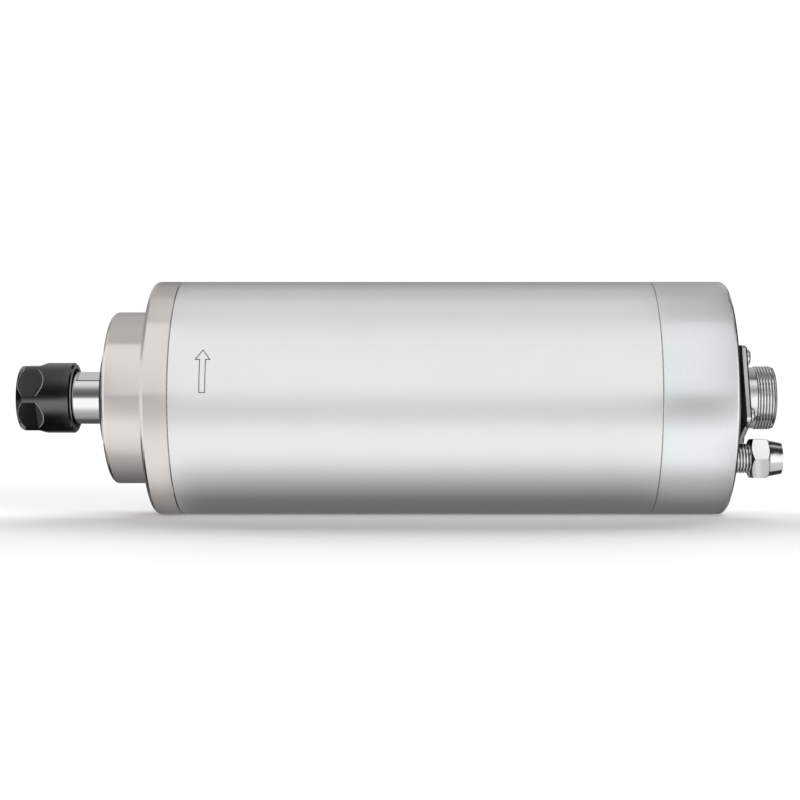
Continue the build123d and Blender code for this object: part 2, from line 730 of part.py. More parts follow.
# Shaft: collet socket and nut thread in front, then wrench flats, shoulder, journals and threads,
# each step smaller than the one before it so that everything slides on from the rear.
shaft_r = shaft_dia / 2
taper_slope = tan(radians(collet_taper))
collet_r = collet_dia / 2
collet_rear_r = collet_r - (x_collet_rear - x_collet_taper) * taper_slope
socket_mouth_r = collet_r - (x_shaft_front - x_collet_taper) * taper_slope + socket_play
socket_end_r = collet_rear_r + socket_play
with BuildPart() as spindle_shaft:
    with BuildSketch(Plane.XY):
        half_section(
            (x_shaft_front, socket_mouth_r),
            (x_shaft_front, nut_thread_dia / 2 - seam_chamfer),
            (x_shaft_front + seam_chamfer, nut_thread_dia / 2),
            (x_thread_rear - run_gap, nut_thread_dia / 2),
            (x_thread_rear - run_gap, shaft_r),
            (x_collar, shaft_r),
            (x_collar, collar_dia / 2),
            (x_front_bearing, collar_dia / 2),
            (x_front_bearing, front_bore / 2),
            (x_front_bearing_end, front_bore / 2),
            (x_front_bearing_end, front_thread_dia / 2),
            (x_front_lock_end, front_thread_dia / 2),
            (x_front_lock_end, rotor_seat_dia / 2),
            (x_rear_bearing, rotor_seat_dia / 2),
            (x_rear_bearing, rear_bore / 2),
            (x_shaft_end, rear_bore / 2),
            (x_shaft_end, 0),
            (x_shaft_front + draw_bore_depth, 0),
            (x_shaft_front + draw_bore_depth, draw_bore_dia / 2),
            (x_collet_rear, draw_bore_dia / 2),
            (x_collet_rear, socket_end_r),
        )
    revolve(axis=Axis.X)
    with BuildSketch(Plane.XY.rotated((180 - wrench_flat_angle, 0, 0))):
        for side in (1, -1):
            with Locations((x_nose - wrench_length / 2, side * (wrench_flats + shaft_dia) / 2)):
                Rectangle(wrench_length - 2 * flat_inset, shaft_dia)
    extrude(amount=shaft_dia, both=True, mode=Mode.SUBTRACT)
export(spindle_shaft, "spindle_shaft")

# Dust ring on the shaft, level with the nose face.
with BuildPart() as dust_ring:
    with BuildSketch(Plane.XY):
        ring_section(x_nose + dust_ring_inset, x_collar, shaft_r + seat_gap, collar_dia / 2)
    revolve(axis=Axis.X)
export(dust_ring, "dust_ring")

with BuildPart() as rotor_core:
    with BuildSketch(Plane.XY):
        ring_section(x_core_front, x_core_rear, rotor_seat_dia / 2 + seat_gap, rotor_r)
    revolve(axis=Axis.X)
export(rotor_core, "rotor_core")

# Short-circuit rings of the rotor cage.
with BuildPart() as rotor_end_rings:
    with BuildSketch(Plane.XY):
        for x_start in (x_core_front - end_ring_length, x_core_rear):
            ring_section(x_start, x_start + end_ring_length, end_ring_inner_dia / 2, rotor_r - air_gap)
    revolve(axis=Axis.X)
export(rotor_end_rings, "rotor_end_rings")

with BuildPart() as front_bearing_inner_rings:
    with BuildSketch(Plane.XY):
        for x in front_starts:
            race_section(x, front_width, front_bore / 2 + seat_gap, front_pitch_r - front_shoulder,
                         front_pitch_r - front_track, front_ball_r)
    revolve(axis=Axis.X)
export(front_bearing_inner_rings, "front_bearing_inner_rings")

with BuildPart() as rear_bearing_inner_ring:
    with BuildSketch(Plane.XY):
        race_section(x_rear_bearing, rear_width, rear_bore / 2 + seat_gap, rear_pitch_r - rear_shoulder,
                     rear_pitch_r - rear_track, rear_ball_r)
    revolve(axis=Axis.X)
export(rear_bearing_inner_ring, "rear_bearing_inner_ring")

# Slotted lock nuts that clamp the inner rings against the shaft's shoulders.
lock_nuts = {
    "front_lock_nut": (x_front_bearing_end, x_front_lock_end, front_thread_dia, front_lock_dia),
    "rear_lock_nut": (x_rear_bearing_end, x_rear_lock_end, rear_bore, rear_lock_dia),
}
for name, (x_start, x_end, thread_dia, outer_dia) in lock_nuts.items():
    with BuildPart() as lock_nut:
        with BuildSketch(Plane.XY):
            ring_section(x_start, x_end, thread_dia / 2 + seat_gap, outer_dia / 2)
        revolve(axis=Axis.X)
        with BuildSketch(*turned_planes(lock_slot_count, x=x_start)):
            with Locations((outer_dia / 2, 0)):
                Rectangle(2 * lock_slot_depth, lock_slot_width)
        extrude(amount=x_end - x_start, mode=Mode.SUBTRACT)
    export(lock_nut, name)

# ======================================================================================
# Balls and their cages
# ======================================================================================


def ball_planes(x_middle, count, pitch_r):
    """Planes at the balls' centres, facing outwards, spaced evenly around the spindle."""
    angles = [2 * pi / count * i for i in range(count)]
    return [
        Plane(origin=(x_middle, pitch_r * cos(a), pitch_r * sin(a)), x_dir=(1, 0, 0), z_dir=(0, cos(a), sin(a)))
        for a in angles
    ]


ball_rows = {
    "front": (front_starts, front_width, front_ball_count, front_pitch_r, front_ball_r, front_shoulder),
    "rear": ([x_rear_bearing], rear_width, rear_ball_count, rear_pitch_r, rear_ball_r, rear_shoulder),
}
for end, (starts, width, count, pitch_r, ball_r, shoulder) in ball_rows.items():
    # Each ball has few faces: a cube inside the ball's sphere, with its edges cut back evenly.
    ball_cube = 2 * ball_r / sqrt(1 + 2 * (sqrt(2) - 1) ** 2)
    pocket = 2 * ball_r + 2 * run_gap
    with BuildPart() as balls:
        for x in starts:
            with Locations(*[p.location for p in ball_planes(x + width / 2, count, pitch_r)]):
                Box(ball_cube, ball_cube, ball_cube)
        chamfer(edges(), ball_cube * (1 - 1 / sqrt(2)))
    export(balls, f"{end}_balls")

    cage_half_width = (width - 2 * run_gap) / 2
    cage_half_height = shoulder - cage_play
    with BuildPart() as cages:
        with BuildSketch(Plane.XY):
            for x in starts:
                middle = x + width / 2
                ring_section(middle - cage_half_width, middle + cage_half_width,
                             pitch_r - cage_half_height, pitch_r + cage_half_height)
        revolve(axis=Axis.X)
        for x in starts:
            with BuildSketch(*ball_planes(x + width / 2, count, pitch_r)):
                Rectangle(pocket, pocket)
            extrude(amount=ball_r, both=True, mode=Mode.SUBTRACT)
    export(cages, f"{end}_cages" if len(starts) > 1 else f"{end}_cage")

# ======================================================================================
# Collet chuck
# ======================================================================================

# Spring collet, slotted from both ends by turns.
collet_face_r = collet_r - face_cone_length * tan(radians(face_taper))
with BuildPart() as er_collet:
    with BuildSketch(Plane.XY):
        half_section(
            (x_collet_front, collet_bore / 2),
            (x_collet_front, collet_face_r),
            (x_collet_front + face_cone_length, collet_r),
            (x_collet_groove, collet_r),
            (x_collet_groove, groove_dia / 2),
            (x_collet_taper, groove_dia / 2),
            (x_collet_taper, collet_r),
            (x_collet_rear, collet_rear_r),
            (x_collet_rear, collet_bore / 2),
        )
    revolve(axis=Axis.X)
    for i, plane in enumerate(axial_planes(2 * collet_slot_count, start=collet_slot_start)):
        x_blind = x_collet_rear - collet_slot_stop if i % 2 else x_collet_front + collet_slot_stop
        x_open = x_collet_front if i % 2 else x_collet_rear
        with BuildSketch(plane):
            with Locations(((x_blind + x_open) / 2, collet_dia / 2)):
                Rectangle(abs(x_blind - x_open), collet_dia)
        extrude(amount=collet_slot_width / 2, both=True, mode=Mode.SUBTRACT)
export(er_collet, "er_collet")

# Nut: turned blank with six flats that run out in slopes, a lip for the collet's groove,
# and the thread behind it.
nut_r = nut_dia / 2
nut_face_r = collet_face_r + run_gap
nut_cone_end_r = collet_r + run_gap
x_lip = x_collet_groove + (groove_width - nut_lip_width) / 2
x_lip_end = x_lip + nut_lip_width
x_hex_end = x_nut_front + nut_hex_length
face_slope = tan(radians(face_taper))
with BuildPart() as collet_nut:
    with BuildSketch(Plane.XY):
        half_section(
            (x_nut_front, nut_face_r - collet_recess * face_slope),
            (x_nut_front, nut_r - nut_face_chamfer),
            (x_nut_front + nut_face_chamfer / face_slope, nut_r),
            (x_nut_rear - nut_rear_chamfer, nut_r),
            (x_nut_rear, nut_r - nut_rear_chamfer),
            (x_nut_rear, nut_relief_dia / 2),
            (x_thread_rear, nut_relief_dia / 2),
            (x_thread_rear, nut_thread_dia / 2 + run_gap),
            (x_lip_end, nut_thread_dia / 2 + run_gap),
            (x_lip_end, nut_lip_dia / 2),
            (x_lip, nut_lip_dia / 2),
            (x_lip, nut_cone_end_r),
            (x_collet_front + face_cone_length, nut_cone_end_r),
            (x_collet_front, nut_face_r),
        )
    revolve(axis=Axis.X)
    with BuildSketch(*axial_planes(hex_sides, start=nut_hex_start)):
        half_section(
            (x_nut_front - nut_r, nut_flats / 2),
            (x_hex_end, nut_flats / 2),
            (x_hex_end + nut_hex_runout * nut_r, nut_flats / 2 + nut_r),
            (x_nut_front - nut_r, nut_flats / 2 + nut_r),
        )
    extrude(amount=nut_r, both=True, mode=Mode.SUBTRACT)
export(collet_nut, "collet_nut")
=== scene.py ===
import json
from math import cos, hypot, pi, radians, sin, sqrt, tan

import bmesh
import bpy
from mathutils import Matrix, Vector


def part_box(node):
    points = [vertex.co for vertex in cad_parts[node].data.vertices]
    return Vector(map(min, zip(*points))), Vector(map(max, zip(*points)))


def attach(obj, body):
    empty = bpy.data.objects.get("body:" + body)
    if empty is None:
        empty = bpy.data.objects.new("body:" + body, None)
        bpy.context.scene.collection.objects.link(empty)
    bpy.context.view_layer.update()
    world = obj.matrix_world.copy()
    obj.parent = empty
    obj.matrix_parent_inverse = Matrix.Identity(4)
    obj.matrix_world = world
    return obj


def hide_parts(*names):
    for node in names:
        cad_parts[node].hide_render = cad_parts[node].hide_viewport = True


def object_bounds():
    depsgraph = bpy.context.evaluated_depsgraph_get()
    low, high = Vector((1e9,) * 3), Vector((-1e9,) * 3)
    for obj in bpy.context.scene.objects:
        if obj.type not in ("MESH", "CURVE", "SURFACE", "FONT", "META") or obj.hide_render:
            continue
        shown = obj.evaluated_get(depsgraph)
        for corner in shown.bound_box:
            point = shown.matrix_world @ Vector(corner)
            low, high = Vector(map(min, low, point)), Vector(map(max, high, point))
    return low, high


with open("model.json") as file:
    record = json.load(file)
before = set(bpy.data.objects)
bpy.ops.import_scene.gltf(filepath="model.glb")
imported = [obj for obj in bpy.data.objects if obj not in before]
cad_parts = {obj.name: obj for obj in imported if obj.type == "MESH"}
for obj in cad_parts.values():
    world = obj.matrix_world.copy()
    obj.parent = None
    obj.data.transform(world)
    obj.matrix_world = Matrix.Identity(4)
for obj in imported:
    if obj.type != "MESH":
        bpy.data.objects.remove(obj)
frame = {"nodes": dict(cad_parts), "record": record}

# Motor spindle: gives the CAD frame its finishes, and adds what the solids lack: the cut threads
# with painted shade in their roots, the turning arrow, painted highlights on the edges of the
# collet nut, painted shadow lines beside the shaft's flats, the cover ring on the nose and the
# joint lines of the sleeve, dark with painted shade.
# Metres, in the frame of the CAD model: the axis is X, the collet points to -X, +Z is up, and the
# camera looks along +Y.

MM = 0.001
AXIS = (0, 0)  # (y, z) of the spindle's axis

cad_low, cad_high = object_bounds()

# ======================================================================================
# Node helpers
# ======================================================================================


def set_inputs(node, inputs):
    """Sets or links a node's inputs, given as {name or number: value or socket}."""
    for key, value in inputs.items():
        if isinstance(value, bpy.types.NodeSocket):
            node.id_data.links.new(value, node.inputs[key])
        else:
            node.inputs[key].default_value = value


def add_node(tree, kind, inputs=None, **settings):
    node = tree.nodes.new(kind)
    for key, value in settings.items():
        setattr(node, key, value)
    set_inputs(node, inputs or {})
    return node


def coords(tree, kind):
    return add_node(tree, "ShaderNodeTexCoord").outputs[kind]


def object_coords(tree, scale=(1, 1, 1), location=(0, 0, 0)):
    """Object coordinates, stretched by scale and then moved by location."""
    inputs = {"Vector": coords(tree, "Object"), "Location": location, "Scale": scale}
    return add_node(tree, "ShaderNodeMapping", inputs).outputs["Vector"]


def parts_of(tree, vector):
    """Outputs X, Y and Z of a vector."""
    return add_node(tree, "ShaderNodeSeparateXYZ", {"Vector": vector}).outputs


def calculate(tree, operation, *values):
    inputs = dict(enumerate(values))
    return add_node(tree, "ShaderNodeMath", inputs, operation=operation).outputs[0]


def noise(tree, vector, scale, detail, roughness=0.5):
    inputs = {"Vector": vector, "Scale": scale, "Detail": detail, "Roughness": roughness}
    return add_node(tree, "ShaderNodeTexNoise", inputs).outputs["Fac"]


def spread(tree, value, low, high, start=0.3, end=0.7, **settings):
    """Maps start..end, by default the middle of a noise, to low..high."""
    inputs = {"Value": value, "From Min": start, "From Max": end, "To Min": low, "To Max": high}
    return add_node(tree, "ShaderNodeMapRange", inputs, **settings).outputs["Result"]


def step_up(tree, value, start, end):
    return spread(tree, value, 0, 1, start, end, interpolation_type="SMOOTHSTEP")


def step_down(tree, value, start, end):
    return spread(tree, value, 1, 0, start, end, interpolation_type="SMOOTHSTEP")


def blend(tree, factor, first, second, kind="FLOAT"):
    """Goes from first to second by a factor; each is a value or a socket."""
    inputs = {"Factor": factor, "A": first, "B": second}
    return add_node(tree, "ShaderNodeMix", inputs, data_type=kind).outputs["Result"]


def bump(tree, height, strength, distance):
    inputs = {"Height": height, "Strength": strength, "Distance": distance}
    return add_node(tree, "ShaderNodeBump", inputs).outputs["Normal"]


def normal_along_axis(tree):
    """How far a surface faces +X, from -1 to 1."""
    return parts_of(tree, coords(tree, "Normal"))["X"]


# ======================================================================================
# Finishes
# ======================================================================================

LINE_DEPTH, GRAIN_DEPTH = 0.02 * MM, 0.05 * MM
RING_STRETCH = (1, 0.02, 0.02)  # noise drawn out round the axis
CLOUD_SCALE = 60
GRAINS_PER_CLOUD = 12
WAVE_FACTOR = 20  # a wave texture's own factor on its coordinates
END_FACE = (0.93, 0.97)  # how far a normal lies along X, from a slope to an end face
BACK_FACE = (-0.6, -0.3)  # the same towards -X, from a back face to a side


def new_material(name):
    material = bpy.data.materials.new(name)
    material.use_nodes = True
    return material, material.node_tree, shader_of(material)


def shader_of(material):
    return material.node_tree.nodes["Principled BSDF"]


def tint(tree, factor, first, second):
    return blend(tree, factor, (*first, 1), (*second, 1), "RGBA")


def turned_metal(name, light, dark, rough_low, rough_high, line_scale, line_strength):
    """Metal turned or ground about X: fine rings across the axis, and slow changes of colour."""
    material, tree, shader = new_material(name)
    rings = noise(tree, object_coords(tree, RING_STRETCH), line_scale, detail=4, roughness=0.7)
    clouds = noise(tree, object_coords(tree), CLOUD_SCALE, detail=2)
    set_inputs(shader, {
        "Base Color": tint(tree, spread(tree, clouds, 0, 1), light, dark),
        "Metallic": 1.0,
        "Roughness": spread(tree, rings, rough_low, rough_high),
        "Normal": bump(tree, rings, line_strength, LINE_DEPTH)})
    return material


def grained(name, light, dark, metallic, rough_low, rough_high, scale, strength, ior=1.5):
    """Surface with an even grain: plated or anodised metal, oxide, rubber, mouldings."""
    material, tree, shader = new_material(name)
    grain = noise(tree, object_coords(tree), scale, detail=5, roughness=0.6)
    clouds = noise(tree, object_coords(tree), scale / GRAINS_PER_CLOUD, detail=2)
    set_inputs(shader, {
        "Base Color": tint(tree, spread(tree, clouds, 0, 1), light, dark),
        "Metallic": metallic,
        "Roughness": spread(tree, grain, rough_low, rough_high),
        "IOR": ior,
        "Normal": bump(tree, grain, strength, GRAIN_DEPTH)})
    return material


def laminated(name, light, dark, sheet):
    """Stack of thin sheets across X, seen at its edges."""
    material, tree, shader = new_material(name)
    inputs = {
        "Vector": object_coords(tree), "Scale": 1 / (sheet * WAVE_FACTOR), "Distortion": 0.0}
    stripes = add_node(tree, "ShaderNodeTexWave", inputs, bands_direction="X").outputs["Fac"]
    set_inputs(shader, {
        "Base Color": tint(tree, stripes, light, dark),
        "Metallic": 1.0,
        "Roughness": 0.45,
        "Normal": bump(tree, stripes, 0.3, sheet / 4)})
    return material


def shade(material, factor, colour):
    """Goes from the material's own colour to another by a factor."""
    base = shader_of(material).inputs["Base Color"]
    shaded = blend(material.node_tree, factor, base.links[0].from_socket, (*colour, 1), "RGBA")
    set_inputs(shader_of(material), {"Base Color": shaded})


def matt_ends(material, metallic, roughness):
    """Makes end faces more matt than the rest: faced and blasted instead of ground."""
    tree, shader = material.node_tree, shader_of(material)
    along = calculate(tree, "ABSOLUTE", normal_along_axis(tree))
    own = shader.inputs["Roughness"].links[0].from_socket
    set_inputs(shader, {
        "Metallic": spread(tree, along, 1.0, metallic, *END_FACE),
        "Roughness": blend(tree, spread(tree, along, 0, 1, *END_FACE), own, roughness)})


def threaded(name, light, dark, centre, root_r, crest_r, root_shade_colour):
    """Cut thread round a centre (y, z): bright crests, and flanks with painted shade that darkens
    them to the root.
    """
    material = grained(name, light, dark, *THREAD_GRAIN)
    tree = material.node_tree
    across = object_coords(tree, (0, 1, 1), (0, -centre[0], -centre[1]))
    radius = add_node(tree, "ShaderNodeVectorMath", {0: across}, operation="LENGTH")
    shade(material, spread(tree, radius.outputs["Value"], 1, 0, root_r, crest_r), root_shade_colour)
    return material


# Names and values of the finishes: light and dark colour, lowest and highest roughness, scale and
# strength of the lines.
TURNED = {
    "stainless_ground": ((0.70, 0.662, 0.632), (0.68, 0.642, 0.612), 0.12, 0.15, 2600, 0.015),
    "stainless_tube": ((0.80, 0.797, 0.792), (0.785, 0.782, 0.777), 0.215, 0.235, 3000, 0.004),
    "ground_steel": ((0.76, 0.755, 0.75), (0.72, 0.715, 0.71), 0.03, 0.06, 5000, 0.01),
    "machined_steel": ((0.58, 0.58, 0.58), (0.50, 0.50, 0.50), 0.28, 0.40, 2400, 0.10),
    "bearing_steel": ((0.74, 0.74, 0.75), (0.70, 0.70, 0.71), 0.08, 0.14, 5000, 0.03),
    "collet_steel": ((0.72, 0.715, 0.70), (0.66, 0.655, 0.64), 0.14, 0.22, 5000, 0.05),
    "aluminium": ((0.80, 0.80, 0.81), (0.74, 0.74, 0.75), 0.24, 0.34, 2200, 0.08),
    "contact_brass": ((0.78, 0.62, 0.34), (0.70, 0.54, 0.28), 0.14, 0.24, 4000, 0.05),
}
# Light and dark colour, metallic, lowest and highest roughness, scale and strength of the grain,
# and the IOR where it isn't 1.5.
GRAINED = {
    "anodised_aluminium": (
        (0.775, 0.795, 0.797), (0.755, 0.777, 0.78), 1.0, 0.19, 0.23, 9000, 0.015),
    "black_oxide": (
        (0.004, 0.004, 0.0045), (0.002, 0.002, 0.0025), 0.0, 0.10, 0.15, 4000, 0.02, 2.0),
    # Lighter grey for the painted highlights on the collet nut's edges.
    "worn_edge": ((0.34, 0.34, 0.345), (0.20, 0.20, 0.205), 0.0, 0.35, 0.5, 3000, 0.05),
    # Black for the painted shade in the sleeve's joint grooves and beside the shaft's flats.
    "joint_gap": ((0.012, 0.012, 0.012), (0.006, 0.006, 0.006), 0.0, 0.7, 0.9, 4000, 0.1),
    "engraving": ((0.060, 0.055, 0.050), (0.035, 0.032, 0.030), 0.0, 0.55, 0.7, 6000, 0.1),
    "nickel_plate": ((0.76, 0.76, 0.765), (0.68, 0.68, 0.685), 1.0, 0.12, 0.18, 2500, 0.04),
    "fitting_chrome": ((0.82, 0.82, 0.83), (0.76, 0.76, 0.77), 1.0, 0.05, 0.10, 900, 0.03),
    "bright_screws": ((0.76, 0.76, 0.75), (0.64, 0.64, 0.63), 1.0, 0.12, 0.20, 3000, 0.10),
    "black_screws": (
        (0.030, 0.030, 0.031), (0.015, 0.015, 0.016), 0.0, 0.30, 0.42, 5000, 0.10),
    "rubber": ((0.004, 0.004, 0.004), (0.008, 0.008, 0.008), 0.0, 0.55, 0.75, 4000, 0.10, 1.25),
    "moulded_plastic": (
        (0.018, 0.018, 0.019), (0.026, 0.026, 0.027), 0.0, 0.35, 0.5, 3000, 0.10),
    "cage_plastic": ((0.34, 0.18, 0.08), (0.26, 0.13, 0.06), 0.0, 0.4, 0.55, 1500, 0.15),
}
THREAD_GRAIN = (1.0, 0.10, 0.16, 2500, 0.03)  # the same from metallic on
# Light and dark colour, thickness of a sheet.
LAMINATED = {
    "copper_winding": ((0.60, 0.28, 0.12), (0.32, 0.13, 0.05), 0.8 * MM),
    "steel_laminations": ((0.42, 0.42, 0.43), (0.22, 0.22, 0.23), 0.5 * MM),
}
materials = {}
for make, finishes in ((turned_metal, TURNED), (grained, GRAINED), (laminated, LAMINATED)):
    for name, values in finishes.items():
        materials[name] = make(name, *values)

# The faces of the fittings' nuts that look at the cap get painted shadow: the cap's shade, darkened
# into their colour.
chrome = materials["fitting_chrome"]
nut_back_painted_shadow = spread(chrome.node_tree, normal_along_axis(chrome.node_tree), 1, 0, *BACK_FACE)
shade(chrome, nut_back_painted_shadow, (0.03, 0.03, 0.032))

# The anodised finish turns black from just above the cap's face, on the boss under the connector.
CAP_BOSS_HEIGHT = 4.5 * MM
BOSS_EDGE = (0.1 * MM, 0.2 * MM)  # above the cap's face, where the black starts
cap_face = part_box("rear_cap")[1].x - CAP_BOSS_HEIGHT
anodised = materials["anodised_aluminium"]
cap_x = parts_of(anodised.node_tree, object_coords(anodised.node_tree))["X"]
boss_start, boss_end = (cap_face + height for height in BOSS_EDGE)
shade(anodised, spread(anodised.node_tree, cap_x, 0, 1, boss_start, boss_end), (0.01, 0.01, 0.01))

matt_ends(anodised, metallic=0.45, roughness=0.42)
matt_ends(materials["stainless_ground"], metallic=0.55, roughness=0.38)

# The run-outs and the face chamfer of the collet nut lean to -X, and mirror less than its flats.
NUT_LEAN, LEAN_RANGE = 0.46, (0.12, 0.22)
DULL_SPECULAR, FULL_SPECULAR = 0.12, 0.5
oxide_tree = materials["black_oxide"].node_tree
lean = calculate(oxide_tree, "ADD", normal_along_axis(oxide_tree), NUT_LEAN)
off_lean = calculate(oxide_tree, "ABSOLUTE", lean)
set_inputs(shader_of(materials["black_oxide"]), {
    "Specular IOR Level": spread(oxide_tree, off_lean, DULL_SPECULAR, FULL_SPECULAR, *LEAN_RANGE)})

slot_of = {entry["node"]: entry["material_slot"] for entry in frame["record"]["subparts"]}
for name, node in frame["nodes"].items():
    node.data.materials.clear()
    node.data.materials.append(materials[slot_of[name]])

# ======================================================================================
# Helpers for meshes
# ======================================================================================

AROUND = 96  # points round a turned piece
ROWS_PER_PITCH = 8
SHARP_ANGLE = radians(35)
CREST_GAIN, CREST_CUT = 2.0, 0.3  # steepen a thread's flanks, and cut root and crest flat


def turned(out, across, angle):
    """The (y, z) of a point out along a direction and across it; 0 is +Y, and +Z is a quarter."""
    return out * cos(angle) - across * sin(angle), out * sin(angle) + across * cos(angle)


def ring(bm, centre, x, radius):
    """Points round an axis along X; radius is a number or a function of the share of a turn."""
    points = []
    for k in range(AROUND):
        r = radius(k / AROUND) if callable(radius) else radius
        angle = 2 * pi * k / AROUND
        points.append(bm.verts.new((x, centre[0] + r * cos(angle), centre[1] + r * sin(angle))))
    return points


def skin(bm, first, second):
    """Faces between two loops with as many points."""
    for k in range(len(first)):
        j = (k + 1) % len(first)
        bm.faces.new((first[k], first[j], second[j], second[k]))


def ribbon(bm, rows):
    """Faces between pairs of points, one pair to a row."""
    for (a, b), (c, d) in zip(rows, rows[1:]):
        bm.faces.new((a, b, d, c))


def turn_profile(bm, centre, profile, closed=False):
    """Skins rings through (x, radius) points, and joins the last to the first if closed."""
    rings = [ring(bm, centre, x, radius) for x, radius in profile]
    for first, second in zip(rings, rings[1:] + rings[:1] if closed else rings[1:]):
        skin(bm, first, second)
    return rings


def thread_profile(x_start, x_end, major_r, pitch, depth, runout, lead_in):
    """Rings of a single-start thread, faded over runout at x_start and lead_in at x_end."""
    rows = round((x_end - x_start) / pitch * ROWS_PER_PITCH)

    def radius_at(x):
        height = max(0.0, min(1.0, (x - x_start) / runout, (x_end - x) / lead_in))

        def radius(share):
            flank = abs(2 * (((x - x_start) / pitch - share) % 1.0) - 1)
            crest = min(1.0, max(0.0, CREST_GAIN * flank - CREST_CUT))
            return major_r - depth * (1 - crest * height)

        return radius

    stations = [x_start + (x_end - x_start) * i / rows for i in range(rows + 1)]
    return [(x, radius_at(x)) for x in stations]


def place(name, data):
    """Puts a mesh, light or camera in the scene."""
    thing = bpy.data.objects.new(name, data)
    bpy.context.scene.collection.objects.link(thing)
    return thing


def mesh_of(bm, name):
    mesh = bpy.data.meshes.new(name)
    bm.to_mesh(mesh)
    bm.free()
    return mesh


def new_piece(bm, name, material, body):
    """Makes a piece of a bmesh, smooth up to the sharp angle, in a finish, riding on a body."""
    bmesh.ops.recalc_face_normals(bm, faces=bm.faces)
    mesh = mesh_of(bm, name)
    mesh.materials.append(materials[material])
    for polygon in mesh.polygons:
        polygon.use_smooth = True
    mesh.set_sharp_from_angle(angle=SHARP_ANGLE)
    piece = place(name, mesh)
    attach(piece, body)
    return piece


# ======================================================================================
# Connector shell with its cut thread
# ======================================================================================

CONNECTOR_TILT = radians(-22.1)
PLATE_SIDE, PLATE_CORNER, CORNER_STEPS = 28.5 * MM, 2.0 * MM, 8
PLATE_THICKNESS, PLATE_CHAMFER = 1.8 * MM, 0.6 * MM
NECK_R, NECK_LENGTH, NECK_STEP = 10.55 * MM, 3.2 * MM, 0.02 * MM
BARREL_R, BARREL_LENGTH, BARREL_CHAMFER = 10.9 * MM, 10.0 * MM, 1.0 * MM
BARREL_BORE_R, MOUTH_CHAMFER = 9.2 * MM, 0.2 * MM
BARREL_PITCH, BARREL_THREAD_DEPTH, BARREL_RUNOUT = 1.0 * MM, 0.42 * MM, 0.3 * MM
# Radii from full painted shade at the thread's root to none towards its crests.
BARREL_FULL_SHADE_R, BARREL_NO_SHADE_R = 10.50 * MM, 10.72 * MM
THREAD_MARGIN = 1.2  # depths under the crests that still have the thread's finish

plate_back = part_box("connector_shell")[0].x
plate_face = plate_back + PLATE_THICKNESS
thread_start = plate_face + NECK_LENGTH
barrel_end = plate_face + BARREL_LENGTH


def plate_outline(bm, x, side, corner):
    """Rounded square across X, turned with the connector."""
    points = []
    for quarter in range(4):
        for k in range(CORNER_STEPS + 1):
            angle = pi / 2 * (quarter + k / CORNER_STEPS)
            y = corner * cos(angle) + (side / 2 - corner) * (1 if quarter in (0, 3) else -1)
            z = corner * sin(angle) + (side / 2 - corner) * (1 if quarter in (0, 1) else -1)
            points.append(bm.verts.new((x, *turned(y, z, CONNECTOR_TILT))))
    return points


bm = bmesh.new()
back = plate_outline(bm, plate_back, PLATE_SIDE, PLATE_CORNER)
edge = plate_outline(bm, plate_face - PLATE_CHAMFER, PLATE_SIDE, PLATE_CORNER)
face = plate_outline(
    bm, plate_face, PLATE_SIDE - 2 * PLATE_CHAMFER, PLATE_CORNER - PLATE_CHAMFER)
skin(bm, back, edge)
skin(bm, edge, face)
# The neck ends just before the thread, so that their step keeps a sharp edge.
rings = turn_profile(bm, AXIS, [
    (plate_face, NECK_R), (thread_start - NECK_STEP, NECK_R),
    *thread_profile(
        thread_start, barrel_end - BARREL_RUNOUT, BARREL_R, BARREL_PITCH, BARREL_THREAD_DEPTH,
        BARREL_RUNOUT, BARREL_CHAMFER),
    (barrel_end, BARREL_R - BARREL_CHAMFER), (barrel_end, BARREL_BORE_R + MOUTH_CHAMFER),
    (barrel_end - MOUTH_CHAMFER, BARREL_BORE_R), (plate_back, BARREL_BORE_R)])
for loops in ((face, rings[0]), (back, rings[-1])):
    edges = [
        bm.edges.get((point, loop[(k + 1) % len(loop)])) for loop in loops
        for k, point in enumerate(loop)]
    bmesh.ops.bridge_loops(bm, edges=edges)
connector_shell = new_piece(bm, "threaded_connector_shell", "nickel_plate", "housing")
connector_shell.data.materials.append(threaded(
    "connector_thread", (0.80, 0.80, 0.805), (0.74, 0.74, 0.745), AXIS,
    BARREL_FULL_SHADE_R, BARREL_NO_SHADE_R, (0.26, 0.26, 0.262)))
for polygon in connector_shell.data.polygons:
    x, y, z = polygon.center
    if x > thread_start and hypot(y, z) > BARREL_R - THREAD_MARGIN * BARREL_THREAD_DEPTH:
        polygon.material_index = 1
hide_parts("connector_shell")

# ======================================================================================
# Threaded stems of the water fittings
# ======================================================================================

STEM_R, STEM_BORE_R, STEM_PITCH = 5.0 * MM, 2.0 * MM, 1.0 * MM
STEM_THREAD_DEPTH, STEM_RUNOUT, STEM_CHAMFER = 0.5 * MM, 0.4 * MM, 0.8 * MM
STEM_SINK, STEM_PLAIN_SINK = 1.4 * MM, 1.5 * MM  # under the cap's face
# Radii from full painted shade at the stem thread's root to none towards its crests.
STEM_FULL_SHADE_R, STEM_NO_SHADE_R = (STEM_R - share * STEM_THREAD_DEPTH for share in (0.95, 0.45))
SPIGOT_R, SPIGOT_CHAMFER, SPIGOT_LENGTH = 2.9 * MM, 0.6 * MM, 4.6 * MM

